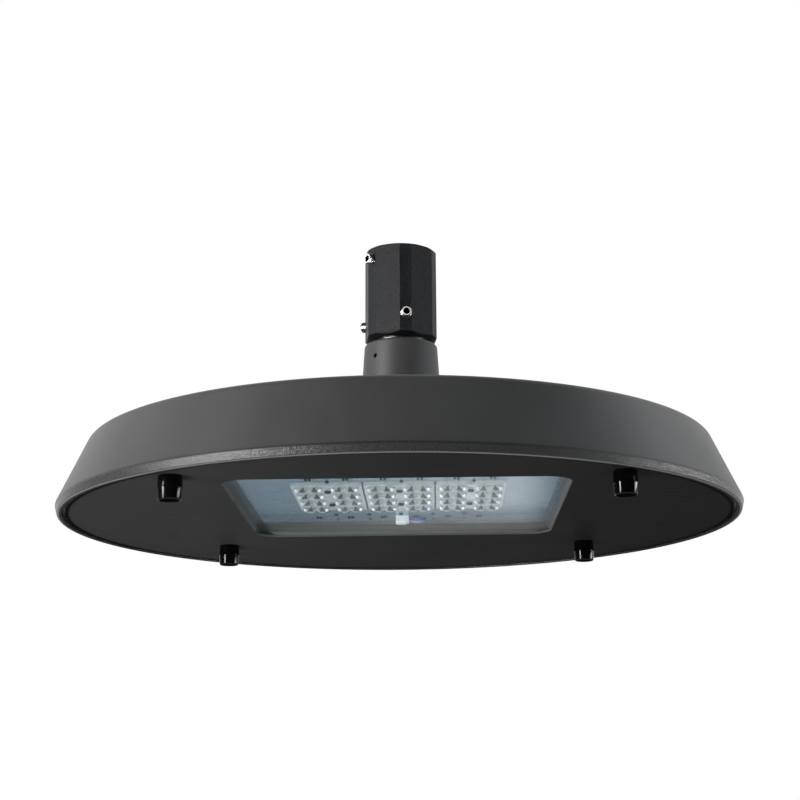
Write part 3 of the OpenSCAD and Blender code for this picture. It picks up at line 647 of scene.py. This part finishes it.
make_knobs()
make_lens_plates()
make_lens_facets()
make_board_marks()
make_screws("set_screws_upper", (-50.8, 129.2), UPPER_SCREWS_MM, "clamp_screws_upper")
make_screws("set_screws_lower", (9.2, 129.2, 249.2), LOWER_SCREWS_MM, "clamp_screws_lower")
make_wires()
make_connector()


# Floor, world and lamps
FLOOR_HALF, FLOOR_Z = 3.2, -1.5
FLOOR_FADE = (1.7, 3.2)  # the floor turns white between these distances from the lantern


def make_floor():
    """A pale paper floor far below the lantern."""
    mesh = bpy.data.meshes.new("floor")
    corners = [(x * FLOOR_HALF, y * FLOOR_HALF, FLOOR_Z) for x, y in ((-1, -1), (1, -1), (1, 1), (-1, 1))]
    mesh.from_pydata(corners, [], [(0, 1, 2, 3)])
    floor = bpy.data.objects.new("floor", mesh)
    bpy.context.scene.collection.objects.link(floor)
    t = Tree("floor_paper")
    clouds = t.noise(3.0, 3.0, 0.5)
    p = t.principled(Base_Color=t.blend(t.ramp(clouds, 0.3, 0.7), (0.60, 0.60, 0.60), (0.63, 0.63, 0.63)))
    p.inputs["Roughness"].default_value = 0.8
    # Far from the object the camera sees the floor as white as the backdrop
    far = t.node("ShaderNodeVectorMath", {0: t.coord}, operation="LENGTH").outputs["Value"]
    camera = t.node("ShaderNodeLightPath").outputs["Is Camera Ray"]
    plain = t.node("ShaderNodeEmission", {"Color": (*WHITE, 1.0), "Strength": 1.0})
    share = t.math("MULTIPLY", camera, t.ramp(far, *FLOOR_FADE))
    shader = t.node("ShaderNodeMixShader", {0: share, 1: p.outputs[0], 2: plain.outputs[0]})
    mesh.materials.append(t.finish(shader))


def make_world():
    """White to the camera and through glass. Reflections show a white wall behind the object, and it gives
    a soft bluish light from all sides."""
    world = bpy.data.worlds.new("studio")
    bpy.context.scene.world = world
    t = Nodes(world)
    path = t.node("ShaderNodeLightPath").outputs
    clear = t.math("MAXIMUM", path["Is Camera Ray"], path["Is Transmission Ray"])
    seen = t.math("MAXIMUM", clear, path["Is Glossy Ray"])
    # The wall is dark towards the camera's side. Below the horizon it falls off to both sides.
    ahead = t.node("ShaderNodeSeparateXYZ", {0: t.node("ShaderNodeTexCoord").outputs["Generated"]}).outputs
    depth = t.ramp(ahead["Y"], 0.0, 0.85, 0.02, 1.0)
    wall = t.math("MULTIPLY", depth, t.ramp(ahead["X"], -0.95, -0.6, 0.35, 1.0))
    turn = t.math("DIVIDE", ahead["X"], t.math("MAXIMUM", ahead["Y"], 0.05))
    sides = t.math("MULTIPLY", t.ramp(turn, -0.10, 0.035, 0.25, 1.0), t.ramp(turn, 0.052, 0.085, 1.0, 0.16))
    below = t.ramp(ahead["Z"], -0.10, -0.02, 1.0, 0.0)
    fall = t.math("SUBTRACT", 1.0, t.math("MULTIPLY", below, t.math("SUBTRACT", 1.0, sides)))
    level = t.math("MAXIMUM", clear, t.math("MULTIPLY", wall, fall))
    white = t.node("ShaderNodeBackground", {"Color": (*WHITE, 1.0), "Strength": level})
    soft = t.node("ShaderNodeBackground", {"Color": (0.95, 0.97, 1.0, 1.0), "Strength": 0.20})
    mix = t.node("ShaderNodeMixShader", {0: seen, 1: soft.outputs[0], 2: white.outputs[0]})
    t.node("ShaderNodeOutputWorld", {"Surface": mix.outputs[0]})


def lamp(name, place, aim, size, watts, colour=WHITE, mirrored=True):
    """A rectangular lamp. Where mirrored is False, surfaces don't show its reflection."""
    data = bpy.data.lights.new(name, "AREA")
    data.shape = "RECTANGLE"
    data.size, data.size_y = size
    data.energy = watts
    data.color = colour
    obj = bpy.data.objects.new(name, data)
    obj.location = place
    obj.visible_glossy = mirrored
    obj.rotation_euler = (Vector(aim) - Vector(place)).to_track_quat("-Z", "Y").to_euler()
    bpy.context.scene.collection.objects.link(obj)


make_floor()
make_world()
lamp("left_box", (-2.2, -0.22, 0.55), (0, 0, 0.08), (1.8, 1.6), 66.0, (1.0, 0.99, 0.97), False)
lamp("right_box", (2.15, -0.55, 0.6), (0, 0, 0.08), (1.2, 1.4), 28.0, (0.94, 0.98, 1.0), False)
lamp("left_strip", (-1.34, -0.96, 0.46), (0, 0, 0.1), (0.30, 0.9), 18.0, (1.0, 0.98, 0.96))
lamp("right_strip", (2.0, -0.45, 0.5), (0, 0, 0.1), (0.5, 1.0), 3.0, (0.88, 0.92, 1.0))
lamp("left_skirt", (-1.25, -1.0, -0.2), (0, 0, 0.02), (0.30, 0.35), 18.0)
lamp("right_skirt", (2.15, 0.1, -0.03), (0, 0, 0.02), (1.2, 0.2), 13.5)
lamp("high_right", (1.6, 0.55, 1.5), (0, 0, 0.05), (1.0, 1.0), 4.0, (0.96, 0.98, 1.0))
lamp("low_left", (-0.45, -0.7, -0.8), (-0.1, -0.1, 0.03), (0.3, 0.3), 7.0, (0.97, 0.98, 1.0), False)
lamp("low_right", (0.9, -0.7, -0.7), (0.1, -0.1, 0.03), (0.2, 0.2), 2.0, (1.0, 1.0, 0.98), False)

bpy.context.scene.view_settings.view_transform = "Standard"
